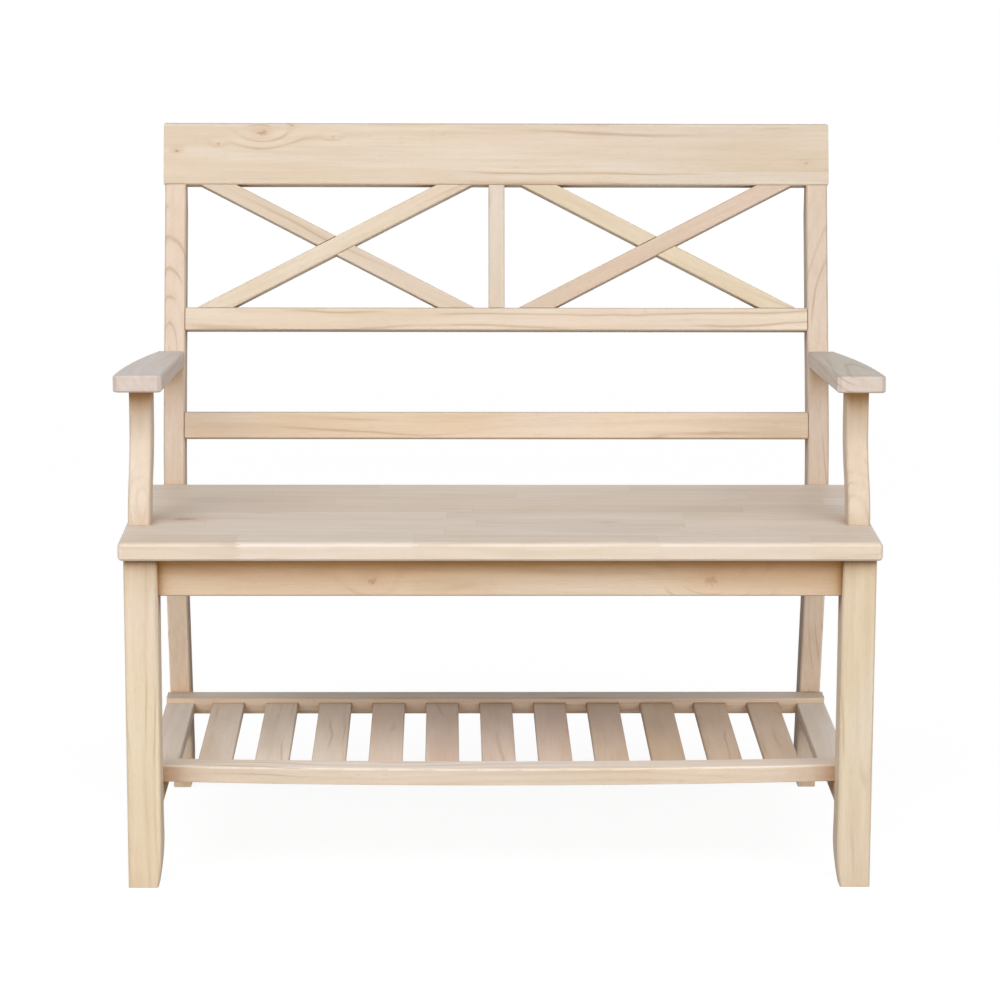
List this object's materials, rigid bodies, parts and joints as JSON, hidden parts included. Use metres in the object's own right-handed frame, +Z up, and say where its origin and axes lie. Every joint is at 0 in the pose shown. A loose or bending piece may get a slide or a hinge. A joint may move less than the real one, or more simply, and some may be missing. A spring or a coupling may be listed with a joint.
{
  "type": "double x-back bench",
  "caption": "Pale wooden bench with sloping arms, a leaning back of crossed braces between rails, and a slatted storage shelf near the floor.",
  "frame": {"origin": "on the floor, under the middle of the bench's overall box", "axes": "+X to the right as seen from the front, along the bench's length; +Y to the back; +Z up"},
  "size_m": [0.9974, 0.5446, 0.9408],
  "materials": {
    "crest_wood": "bare sanded hardwood",
    "back_rail_wood": "bare sanded hardwood",
    "post_wood": "bare sanded hardwood",
    "brace_wood": "bare sanded hardwood",
    "seat_wood": "bare sanded hardwood",
    "apron_wood": "bare sanded hardwood",
    "leg_wood": "bare sanded hardwood",
    "arm_wood": "bare sanded hardwood",
    "support_wood": "bare sanded hardwood",
    "stretcher_wood": "bare sanded hardwood",
    "shelf_rail_wood": "bare sanded hardwood",
    "slat_wood": "bare sanded hardwood",
    "block_wood": "bare sanded hardwood",
    "dowel_wood": "bare sanded hardwood"
  },
  "bodies": {
    "root": {"back_centre_stile": "brace_wood", "back_lower_rail": "back_rail_wood", "back_mid_rail": "back_rail_wood", "crest_dowels": "dowel_wood", "crest_rail": "crest_wood", "front_apron": "apron_wood", "left_arm": "arm_wood", "left_arm_support": "support_wood", "left_back_post": "post_wood", "left_bay_falling_brace": "brace_wood", "left_bay_rising_brace": "brace_wood", "left_front_corner_block": "block_wood", "left_front_leg": "leg_wood", "left_rear_corner_block": "block_wood", "left_shelf_end_board": "slat_wood", "left_side_apron": "apron_wood", "left_side_stretcher": "stretcher_wood", "rear_apron": "apron_wood", "right_arm": "arm_wood", "right_arm_support": "support_wood", "right_back_post": "post_wood", "right_bay_falling_brace": "brace_wood", "right_bay_rising_brace": "brace_wood", "right_front_corner_block": "block_wood", "right_front_leg": "leg_wood", "right_rear_corner_block": "block_wood", "right_shelf_end_board": "slat_wood", "right_side_apron": "apron_wood", "right_side_stretcher": "stretcher_wood", "seat_board": "seat_wood", "shelf_dowels": "dowel_wood", "shelf_front_rail": "shelf_rail_wood", "shelf_rear_rail": "shelf_rail_wood", "shelf_slat_01": "slat_wood", "shelf_slat_02": "slat_wood", "shelf_slat_03": "slat_wood", "shelf_slat_04": "slat_wood", "shelf_slat_05": "slat_wood", "shelf_slat_06": "slat_wood", "shelf_slat_07": "slat_wood", "shelf_slat_08": "slat_wood", "shelf_slat_09": "slat_wood", "shelf_slat_10": "slat_wood", "shelf_slat_11": "slat_wood"}
  },
  "joints": []
}
